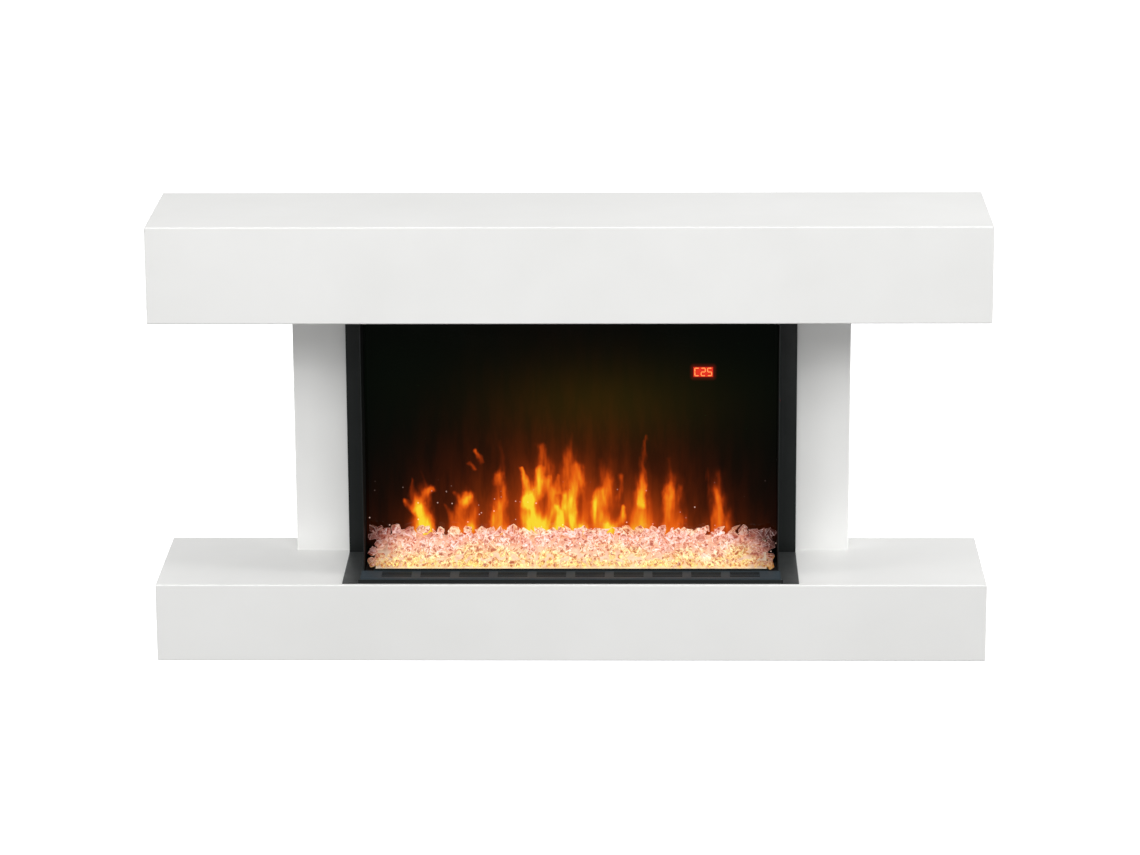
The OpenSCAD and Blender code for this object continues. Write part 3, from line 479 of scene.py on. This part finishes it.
def stroke_group():
    """Adds a soft tapered stroke from A to B, in the plane of the screen, to the heat at point P, in mm.
    P goes out again, tied to the heat by a negligible amount, so that strokes are worked out one by one:
    side by side they need more room than the renderer has for one material."""
    g = bpy.data.node_groups.new("flame_stroke", "ShaderNodeTree")
    for name, kind in (("P", "NodeSocketVector"), ("A", "NodeSocketVector"), ("B", "NodeSocketVector"),
                       ("Bend", "NodeSocketFloat"), ("Width A", "NodeSocketFloat"),
                       ("Width B", "NodeSocketFloat"), ("Heat A", "NodeSocketFloat"),
                       ("Heat B", "NodeSocketFloat"), ("Below", "NodeSocketFloat")):
        g.interface.new_socket(name, in_out="INPUT", socket_type=kind)
    g.interface.new_socket("Heat", in_out="OUTPUT", socket_type="NodeSocketFloat")
    g.interface.new_socket("P", in_out="OUTPUT", socket_type="NodeSocketVector")
    s = Shader.__new__(Shader)
    s.tree = g
    source = g.nodes.new("NodeGroupInput").outputs
    sink = g.nodes.new("NodeGroupOutput").inputs
    run = s.vector("SUBTRACT", source["B"], source["A"])
    here = s.vector("SUBTRACT", source["P"], source["A"])
    length = s.vector("LENGTH", run, output="Value")
    along = s.math("DIVIDE", s.vector("DOT_PRODUCT", here, run, "Value"), s.math("MULTIPLY", length, length))
    t = s.math("MULTIPLY", along, 1.0, clamp=True)
    side = s.math("DIVIDE", s.split(s.vector("CROSS_PRODUCT", run, here))["Z"], length)
    bow = s.math("MULTIPLY", s.math("SINE", s.math("MULTIPLY", t, math.pi)), source["Bend"])
    side = s.math("SUBTRACT", side, bow)
    past = s.math("MULTIPLY", s.math("SUBTRACT", along, t), length)
    far = s.math("SQRT", s.math("ADD", s.math("MULTIPLY", side, side), s.math("MULTIPLY", past, past)))

    def blend(a, b):
        return s.math("MULTIPLY_ADD", s.math("SUBTRACT", b, a), t, a)

    cover = s.span(far, 0.0, blend(source["Width A"], source["Width B"]), 1.0, 0.0)
    heat = s.math("MULTIPLY_ADD", cover, blend(source["Heat A"], source["Heat B"]), source["Below"])
    g.links.new(heat, sink["Heat"])
    trace = s.math("MULTIPLY", heat, 1e-7)
    g.links.new(s.vector("ADD", source["P"], s.join(trace, trace, trace)), sink["P"])
    return g


# Soft orange body of each flame, from one height up: centre, half width and top, in mm
BODY_FOOT = 128
BODIES = (
    (-181, 15, 186), (-129, 17, 176), (-86, 14, 204), (-43, 25, 214), (0, 25, 226), (42, 22, 204),
    (84, 19, 204), (122, 19, 196), (177, 16, 204),
)

# Brighter strokes in the flames: foot (x, z), tip (x, z), bend, width at foot and at tip, all in mm,
# then heat at foot and at tip
STROKES = (
    # far left, a leaf with a lick on each side
    ((-177, 136), (-186, 170), -2, 13, 9, 1.20, 0.45),
    ((-185, 166), (-189, 200), 5, 12, 3, 0.42, 0.30),
    ((-184, 160), (-201, 173), 2, 8, 5, 0.36, 0.46),
    ((-180, 178), (-168, 188), 2, 6, 7, 0.20, 0.42),
    ((-176, 140), (-180, 212), -6, 8, 3, 0.22, 0.06),
    # left, a thin branch and a curl
    ((-141, 136), (-152, 168), -3, 10, 4, 0.75, 0.26),
    ((-127, 140), (-128, 178), 7, 10, 9, 0.36, 0.85),
    ((-120, 140), (-121, 180), -3, 9, 8, 0.30, 0.40),
    ((-129, 172), (-141, 184), 3, 8, 4, 0.30, 0.36),
    ((-126, 176), (-124, 212), -2, 8, 3, 0.18, 0.06),
    # two loose licks
    ((-115, 236), (-108, 222), 1, 4.5, 5, 0.50, 0.30),
    ((-123, 222), (-116, 214), 0, 4.0, 4.0, 0.40, 0.28),
    # thin upright flame
    ((-86, 134), (-86, 170), 2, 15, 10, 1.10, 0.34),
    ((-83, 168), (-87, 205), -3, 11, 8, 0.26, 0.52),
    ((-87, 200), (-86, 248), -2, 8, 3, 0.30, 0.06),
    # the largest flame
    ((-38, 136), (-52, 176), 3, 23, 11, 1.45, 0.85),
    ((-52, 170), (-38, 210), -6, 10, 9, 0.80, 0.62),
    ((-52, 176), (-61, 214), -2, 9, 4, 0.70, 0.62),
    ((-30, 146), (-28, 198), -6, 9, 8, 0.62, 0.55),
    ((-36, 192), (-37, 242), -6, 16, 8, 0.42, 0.28),
    # the tall flame at the middle
    ((6, 138), (-5, 180), 3, 15, 9, 1.30, 0.75),
    ((-3, 168), (7, 214), -4, 11, 10, 0.60, 0.36),
    ((-14, 140), (-18, 168), -2, 9, 4, 1.05, 0.62),
    ((2, 196), (3, 258), 5, 16, 4, 0.36, 0.10),
    ((-16, 186), (-14, 206), 1, 6, 3, 0.32, 0.22),
    # right of the middle
    ((42, 136), (35, 184), 4, 16, 9, 1.25, 0.65),
    ((36, 172), (35, 226), -4, 12, 6, 0.46, 0.16),
    ((50, 170), (48, 240), 4, 10, 4, 0.24, 0.06),
    ((50, 141), (62, 166), -4, 11, 4, 0.92, 0.72),
    ((54, 178), (58, 204), -3, 6, 5, 0.25, 0.34),
    # thin bright streak
    ((80, 138), (78, 182), -3, 15, 9, 0.36, 0.18),
    ((86, 170), (89, 254), 1, 6.5, 3.5, 0.62, 0.34),
    # the two dim flames on the right
    ((121, 138), (118, 190), 3, 13, 8, 0.55, 0.28),
    ((117, 182), (117, 226), -2, 9, 4, 0.26, 0.08),
    ((131, 150), (130, 192), 3, 9, 4, 0.36, 0.16),
    ((179, 140), (174, 186), -3, 12, 8, 0.20, 0.14),
    ((173, 180), (165, 214), 2, 9, 4, 0.20, 0.06),
)

# Strokes are drawn this much wider than listed, for softer edges
SPREAD = 1.15


def flame_heat(s, x, z):
    """Heat of all the flames at a point of the screen, in mm."""
    # Slow sideways sway and small ragged edges
    plane = s.join(x, s.math("MULTIPLY", z, 0.42), 0.0)
    sway = s.offset(s.noise(0.045, 2.0, 0.5, plane), 13.0)
    ragged = s.offset(s.noise(0.14, 2.0, 0.5, plane), 8.0)
    lift = s.offset(s.noise(0.09, 2.0, 0.5, s.join(z, x, 7.0)), 9.0)
    point = s.join(s.math("ADD", x, s.math("ADD", sway, ragged)), s.math("ADD", z, lift), 0.0)
    # A body is wider and hotter at its foot than at its top
    bodies = [((centre, BODY_FOOT), (centre, top), 0, half * 1.6 * SPREAD, half * SPREAD, 0.70, 0.18)
              for centre, half, top in BODIES]
    strokes = [(foot, tip, bend, wide_a * SPREAD, wide_b * SPREAD, heat_a, heat_b)
               for foot, tip, bend, wide_a, wide_b, heat_a, heat_b in STROKES]
    group = stroke_group()
    total = 0.0
    for foot, tip, *values in bodies + strokes:
        n = s.tree.nodes.new("ShaderNodeGroup")
        n.node_tree = group
        s.put(n.inputs["P"], point)
        s.put(n.inputs["Below"], total)
        n.inputs["A"].default_value = (*foot, 0.0)
        n.inputs["B"].default_value = (*tip, 0.0)
        for name, value in zip(("Bend", "Width A", "Width B", "Heat A", "Heat B"), values):
            n.inputs[name].default_value = value
        total, point = n.outputs["Heat"], n.outputs["P"]
    return total


def bell(s, value, centre, width):
    off = s.math("DIVIDE", s.math("SUBTRACT", value, centre), width)
    return s.math("EXPONENT", s.math("MULTIPLY", s.math("MULTIPLY", off, off), -1.0))


def sparkles(s, x, z):
    """Pinpoint reflections of the crystals, just above them."""
    plane = s.join(x, z, 0.0)
    picked = s.span(s.split(s.cells(0.12, plane, output="Color"))["X"], 0.5, 0.7)
    spots = s.math("MULTIPLY", s.span(s.cells(0.12, plane), 0.07, 0.13, 1.0, 0.0), picked)
    return s.math("MULTIPLY", spots, s.span(z, 166.0, 204.0, 1.0, 0.0))


def past_window(s, at):
    """Distance outside the lit window of the temperature display."""
    sides = []
    for axis, centre, half in (("X", WINDOW.x, WINDOW_HALF_WIDTH), ("Z", WINDOW.z, WINDOW_HALF_HEIGHT)):
        off = s.math("ABSOLUTE", s.math("SUBTRACT", at[axis], centre))
        side = s.math("MAXIMUM", s.math("SUBTRACT", off, half), 0.0)
        sides.append(s.math("MULTIPLY", side, side))
    return s.math("SQRT", s.math("ADD", *sides))


def smoked_screen():
    """Glossy smoked acrylic with the flame picture on its back face."""
    s = Shader("smoked_flame_screen")
    at = s.split()
    x = s.math("MULTIPLY", at["X"], 1.0 / MM)
    z = s.math("MULTIPLY", at["Z"], 1.0 / MM)
    tall = s.join(x, s.math("MULTIPLY", z, 0.22), 3.0)
    streaks = s.span(s.noise(0.075, 2.0, 0.5, tall), 0.34, 0.66, 0.56, 1.24)
    fine = s.span(s.noise(0.20, 2.0, 0.5, tall), 0.3, 0.7, 0.90, 1.10)
    heat = s.math("MULTIPLY", flame_heat(s, x, z), s.math("MULTIPLY", streaks, fine))
    flame = s.ramp(s.math("DIVIDE", heat, 1.7),
                   (0.0, (0.26, 0.022, 0.0010)), (0.18, (0.52, 0.050, 0.002)), (0.36, (0.76, 0.105, 0.004)),
                   (0.54, (0.88, 0.22, 0.008)), (0.72, (0.92, 0.42, 0.012)), (0.95, (0.95, 0.68, 0.030)))

    # Red afterglow that thins out upwards and to the sides, and a brown haze higher up
    fall = s.math("EXPONENT", s.math("DIVIDE", s.math("SUBTRACT", 160.0, z), 38.0))
    wisps = s.span(s.noise(0.07, 3.0, 0.55, tall), 0.3, 0.7, 0.62, 1.3)
    afterglow = s.math("MULTIPLY", s.math("MULTIPLY", fall, bell(s, x, 0.0, 122.0)), wisps)
    afterglow = s.math("MINIMUM", s.math("MULTIPLY", afterglow, 0.46), 0.6)
    afterglow = s.math("MULTIPLY", afterglow, s.span(z, 112.0, 142.0))
    haze = s.math("MULTIPLY", bell(s, x, 35.0, 118.0), bell(s, z, 292.0, 48.0))

    past = past_window(s, at)
    added = (
        ((0.0128, 0.0092, 0.0), haze),
        ((0.0, 0.0004, 0.0), s.span(z, 200.0, 330.0)),
        ((0.62, 0.42, 0.36), sparkles(s, x, z)),
        ((0.70, 0.028, 0.014), s.span(past, 0.0, 0.9 * MM, 1.0, 0.0)),
        ((0.07, 0.003, 0.002), s.span(past, 0.0, 6 * MM, 1.0, 0.0)),
    )
    light = s.mix(s.span(heat, 0.0, 0.62), s.mix(afterglow, BLACK, (1.0, 0.115, 0.006)), flame)
    for colour, amount in added:
        light = s.mix(1.0, light, s.mix(amount, BLACK, colour), "ADD")
    s.link(light, "Emission Color")
    s.set(Emission_Strength=1.0, Specular_IOR_Level=0.16)
    smoke = s.ramp(s.noise(4.0), (0.3, (0.0003, 0.0011, 0.0003)), (0.7, (0.0006, 0.0020, 0.0006)))
    s.link(smoke, "Base Color")
    s.link(s.span(s.noise(9.0, 3.0, 0.6), 0.3, 0.7, 0.02, 0.06), "Roughness")
    s.link(s.bump(s.noise(14.0, 2.0, 0.5), 0.0003, 0.08), "Normal")
    return s.mat


SLOT_MATERIALS = {
    "white_board": satin_white, "raw_board": bare_board, "screw_steel": screw_steel,
    "bracket_steel": bracket_steel, "black_case": black_case, "grey_case": grey_case,
    "trim_black": trim_black, "smoked_screen": smoked_screen, "stencil_steel": stencil_steel,
    "crystal": crystal_glass, "ember_acrylic": ember_acrylic, "led_board": led_board, "foil": foil,
    "shaft_steel": shaft_steel, "galvanised": galvanised, "motor_steel": motor_steel, "nylon": nylon,
    "display": display_module, "circuit_board": circuit_board, "black_plastic": black_plastic,
    "button_grey": button_grey, "rocker_red": rocker_red, "heater": heater, "rubber": rubber,
}
MATERIALS = {slot: make() for slot, make in SLOT_MATERIALS.items()}


def dress(obj, mat):
    obj.data.materials.clear()
    obj.data.materials.append(mat)


for part in RECORD["subparts"]:
    dress(NODES[part["node"]], MATERIALS[part["material_slot"]])
dress(NODES["air_grille"], grille_coat())


def new_object(name, mesh, mat):
    obj = bpy.data.objects.new(name, mesh)
    bpy.context.scene.collection.objects.link(obj)
    dress(obj, mat)
    return obj


# ---------- fuel bed of glass crystals ----------

SHAPES = 14


def crystal_shapes():
    """Broken-glass nuggets of about unit size, as (corners, faces)."""
    shapes = []
    for _ in range(SHAPES):
        bm = bmesh.new()
        squash = (1.0, rng.uniform(0.72, 0.95), rng.uniform(0.6, 0.85))
        for _ in range(rng.randint(9, 13)):
            p = Vector([rng.gauss(0, 1) for _ in range(3)]).normalized() * rng.uniform(0.40, 0.5)
            bm.verts.new([c * k for c, k in zip(p, squash)])
        bmesh.ops.convex_hull(bm, input=bm.verts)
        loose = [v for v in bm.verts if not v.link_faces]
        bmesh.ops.delete(bm, geom=loose, context="VERTS")
        bmesh.ops.bevel(bm, geom=list(bm.edges), offset=0.02, segments=1, affect="EDGES")
        bmesh.ops.triangulate(bm, faces=bm.faces)
        bm.verts.index_update()
        shapes.append(([v.co.copy() for v in bm.verts], [[v.index for v in f.verts] for f in bm.faces]))
        bm.free()
    return shapes


def crystals():
    low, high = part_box("crystal_bed")
    front = Vector((low.y + 5.5 * MM, low.z + 5.5 * MM))
    crest = Vector((high.y - 9.2 * MM, high.z - 4.5 * MM))
    slope = crest - front
    normal = Vector((-slope.y, slope.x)).normalized()
    reach = high.x - 7.5 * MM
    shapes = crystal_shapes()
    corners, faces = [], []

    def place(x, y, z, size):
        turn = Quaternion([rng.gauss(0, 1) for _ in range(4)]).normalized().to_matrix()
        points, shape_faces = shapes[rng.randrange(SHAPES)]
        base = len(corners)
        at = Vector((x, y, z))
        corners.extend(at + turn @ (point * size) for point in points)
        faces.extend([base + i for i in face] for face in shape_faces)

    def jittered(column, pitch, scatter):
        """A place along the heap, scattered about its column and kept between the ends."""
        return max(-reach, min(reach, -reach + (column + rng.uniform(-scatter, scatter)) * pitch))

    def columns(pitch):
        return range(int(2 * reach / pitch) + 1)

    # The slope, two layers deep: depth, rows, pitch and size
    for depth, rows, pitch, size in (
        (8.8 * MM, 5, 14.0 * MM, 16.0 * MM),
        (5.0 * MM, 6, 13.2 * MM, 18.2 * MM),
    ):
        for row in range(rows):
            for column in columns(pitch):
                u = (row + rng.uniform(0.25, 0.75)) / rows
                x = jittered(column + 0.5 * (row % 2), pitch, 0.3)
                spot = front + slope * u - normal * (depth + rng.uniform(-1.2 * MM, 1.8 * MM))
                place(x, spot.x, spot.y, size * rng.uniform(0.72, 1.12))
    # Small pieces, two deep, down to the tray's front lip
    pitch = 6.2 * MM
    for back, up in ((4.2 * MM, 3.6 * MM), (7.8 * MM, 4.8 * MM)):
        for column in columns(pitch):
            x = jittered(column, pitch, 0.3)
            place(x, low.y + back + rng.uniform(0.0, 1.2 * MM), low.z + up + rng.uniform(0.0, 1.2 * MM),
                  rng.uniform(8.8 * MM, 10.5 * MM))
    # A broken crest of larger pieces along the screen
    pitch = 14.0 * MM
    for column in columns(pitch):
        x = jittered(column, pitch, 0.35)
        size = 18.5 * MM * rng.uniform(0.78, 1.12)
        y = high.y - 0.46 * size - rng.uniform(0.0, 2.0 * MM)
        place(x, y, high.z - 0.38 * size - rng.uniform(0.0, 4.0 * MM), size)
    mesh = bpy.data.meshes.new("glass_crystals")
    mesh.from_pydata(corners, [], faces)
    obj = new_object("glass_crystals", mesh, MATERIALS["crystal"])
    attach(obj, "suite")
    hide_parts("crystal_bed")


crystals()


# ---------- digits of the temperature display ----------

# Segments of a digit, from corner to corner of a unit box, and the ones lit in each digit
SEGMENTS = {
    "a": ((0, 1), (1, 1)), "b": ((1, 1), (1, 0.5)), "c": ((1, 0.5), (1, 0)), "d": ((0, 0), (1, 0)),
    "e": ((0, 0.5), (0, 0)), "f": ((0, 1), (0, 0.5)), "g": ((0, 0.5), (1, 0.5)),
}
DIGITS = ("adef", "abged", "afgcd")


def glowing_digits():
    s = Shader("display_digits")
    s.link(s.ramp(s.noise(900.0), (0.3, (1.0, 0.20, 0.03)), (0.7, (1.0, 0.46, 0.07))), "Emission Color")
    s.set(Emission_Strength=1.1)
    s.link(s.ramp(s.noise(900.0), (0.3, (0.3, 0.01, 0.01)), (0.7, (0.4, 0.02, 0.01))), "Base Color")
    s.link(s.span(s.noise(400.0), 0.3, 0.7, 0.3, 0.4), "Roughness")
    return s.mat


def display_digits():
    face_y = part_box("flame_screen")[0].y
    wide, tall, pitch, bar = 4.8 * MM, 9.2 * MM, 7.6 * MM, 1.1 * MM
    proud, thick = 0.15 * MM, 0.12 * MM
    bm = bmesh.new()
    for i, lit in enumerate(DIGITS):
        left = WINDOW.x + (i - 1) * pitch - wide / 2
        foot = WINDOW.z - tall / 2
        for name in lit:
            a, b = (Vector((left + x * wide, 0, foot + z * tall)) for x, z in SEGMENTS[name])
            along = (b - a).normalized()
            across = Vector((-along.z, 0, along.x)) * bar / 2
            a += along * bar * 0.6
            b -= along * bar * 0.6
            point = along * bar / 2
            outline = [a - point, a + across, b + across, b + point, b - across, a - across]
            ring = [bm.verts.new((p.x, face_y - proud, p.z)) for p in outline]
            face = bm.faces.new(ring)
            grown = bmesh.ops.extrude_face_region(bm, geom=[face])["geom"]
            moved = [v for v in grown if isinstance(v, bmesh.types.BMVert)]
            bmesh.ops.translate(bm, verts=moved, vec=(0, thick, 0))
    bmesh.ops.recalc_face_normals(bm, faces=bm.faces)
    mesh = bpy.data.meshes.new("display_digits")
    bm.to_mesh(mesh)
    bm.free()
    obj = new_object("display_digits", mesh, glowing_digits())
    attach(obj, "suite")


display_digits()


# ---------- floor, light and camera ----------

def stage():
    mesh = bpy.data.meshes.new("floor")
    half = 40.0
    drop = -0.62
    mesh.from_pydata([(-half, -half, drop), (half, -half, drop), (half, half, drop), (-half, half, drop)],
                     [], [(0, 1, 2, 3)])
    s = Shader("pale_floor")
    s.set(Base_Color=(0.9, 0.9, 0.9, 1.0), Roughness=0.9, Emission_Color=(1.0, 1.0, 1.0, 1.0),
          Emission_Strength=1.0)
    floor = new_object("floor", mesh, s.mat)
    floor.visible_diffuse = False
    floor.visible_glossy = False
    floor.visible_transmission = False


stage()


# name, place, aim, width and height, watts
LIGHTS = (
    ("front", (0.1, -4.2, 0.1), (0.0, 0.0, 0.25), (2.4, 1.2), 32),
    ("high", (0.0, -2.6, 2.4), (0.0, 0.0, 0.3), (1.2, 1.0), 23),
    ("high_right", (1.5, -3.6, 2.2), (0.1, 0.0, 0.3), (0.9, 0.9), 18),
    ("high_left", (-1.5, -3.6, 2.2), (-0.1, 0.0, 0.3), (0.9, 0.9), 20),
    ("side_left", (-3.0, -0.8, 1.9), (-0.3, 0.0, 0.1), (1.0, 1.0), 24),
    ("side_right", (3.0, -0.5, 1.9), (0.3, 0.0, 0.1), (1.0, 1.0), 46),
)


def area_light(name, at, target, size, power):
    data = bpy.data.lights.new(name, "AREA")
    data.shape = "RECTANGLE"
    data.size, data.size_y = size
    data.energy = power
    obj = bpy.data.objects.new(name, data)
    obj.location = at
    obj.rotation_euler = (Vector(target) - Vector(at)).to_track_quat("-Z", "Y").to_euler()
    bpy.context.scene.collection.objects.link(obj)


for light in LIGHTS:
    area_light(*light)


def studio_world():
    """White to the camera; as light, soft from above and weak from below."""
    world = bpy.data.worlds.new("studio")
    bpy.context.scene.world = world
    world.use_nodes = True
    tree = world.node_tree
    where = tree.nodes.new("ShaderNodeTexCoord")
    split = tree.nodes.new("ShaderNodeSeparateXYZ")
    tree.links.new(where.outputs["Generated"], split.inputs[0])
    fade = tree.nodes.new("ShaderNodeMapRange")
    tree.links.new(split.outputs["Z"], fade.inputs["Value"])
    for name, value in (("From Min", -0.05), ("From Max", 0.10), ("To Min", 0.15), ("To Max", 0.62)):
        fade.inputs[name].default_value = value
    seen = tree.nodes.new("ShaderNodeLightPath")
    strength = tree.nodes.new("ShaderNodeMath")
    strength.operation = "MAXIMUM"
    tree.links.new(fade.outputs["Result"], strength.inputs[0])
    tree.links.new(seen.outputs["Is Camera Ray"], strength.inputs[1])
    back = tree.nodes["Background"]
    tree.links.new(strength.outputs[0], back.inputs["Strength"])
    back.inputs["Color"].default_value = (1.0, 1.0, 1.0, 1.0)


studio_world()


# The camera: lengths in metres, angles in radians, focal length in pixels of the photo's width
FRAME_WIDTH_PX = 1140
LENS_PX = 4178.0
SENSOR = 36.0
CAMERA_AT = (0.0957, -4.8517, 1.5578)
PITCH, YAW, ROLL = 0.2609, 0.0200, -0.0055


def camera():
    data = bpy.data.cameras.new("camera")
    data.sensor_fit = "HORIZONTAL"
    data.sensor_width = SENSOR
    data.lens = SENSOR * LENS_PX / FRAME_WIDTH_PX
    data.clip_start, data.clip_end = 0.05, 200.0
    obj = bpy.data.objects.new("camera", data)
    forward = Vector((-math.sin(YAW) * math.cos(PITCH), math.cos(YAW) * math.cos(PITCH), -math.sin(PITCH)))
    turn = forward.to_track_quat("-Z", "Y") @ Quaternion((0, 0, 1), ROLL)
    obj.matrix_world = Matrix.Translation(CAMERA_AT) @ turn.to_matrix().to_4x4()
    bpy.context.scene.collection.objects.link(obj)
    bpy.context.scene.camera = obj


camera()
bpy.context.scene.view_settings.view_transform = "Standard"
